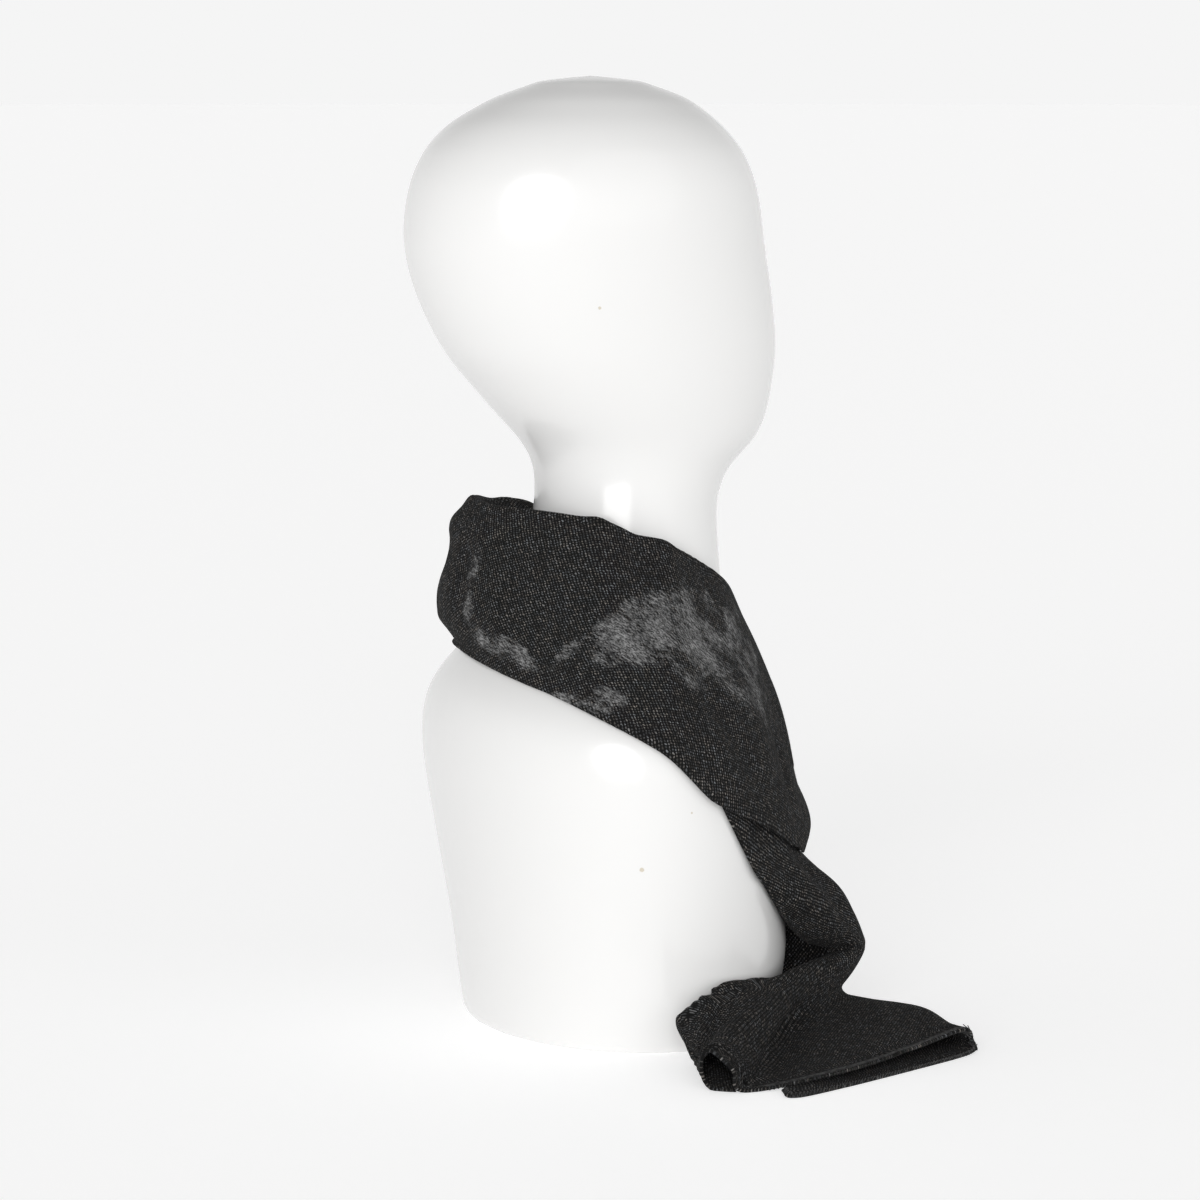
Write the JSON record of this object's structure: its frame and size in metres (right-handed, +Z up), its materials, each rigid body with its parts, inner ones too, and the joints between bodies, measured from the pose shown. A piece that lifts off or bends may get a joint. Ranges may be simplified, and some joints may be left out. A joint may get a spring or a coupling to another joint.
{
  "type": "wool scarf on a display bust",
  "caption": "Charcoal woven wool scarf wound once round the neck of a glossy white limbless display bust, one tail folded down on to the surface beside it.",
  "frame": {"origin": "on the surface that the bust stands on, under the middle of the neck, on the bust's flat base", "axes": "+Z up through the head; the bust faces -Y, so its right side and the laid tail are towards -X"},
  "size_m": [0.3525, 0.2619, 0.511],
  "materials": {
    "gloss_white": "smooth glossy white",
    "wool": "fine woven wool, charcoal flecked with light grey, with paler brushed patches"
  },
  "bodies": {
    "root": {"bust": "gloss_white", "scarf_wrap_right": "wool", "scarf_wrap_left": "wool", "scarf_tail_right": "wool", "scarf_tail_left": "wool", "scarf_end_right": "wool"}
  },
  "joints": []
}
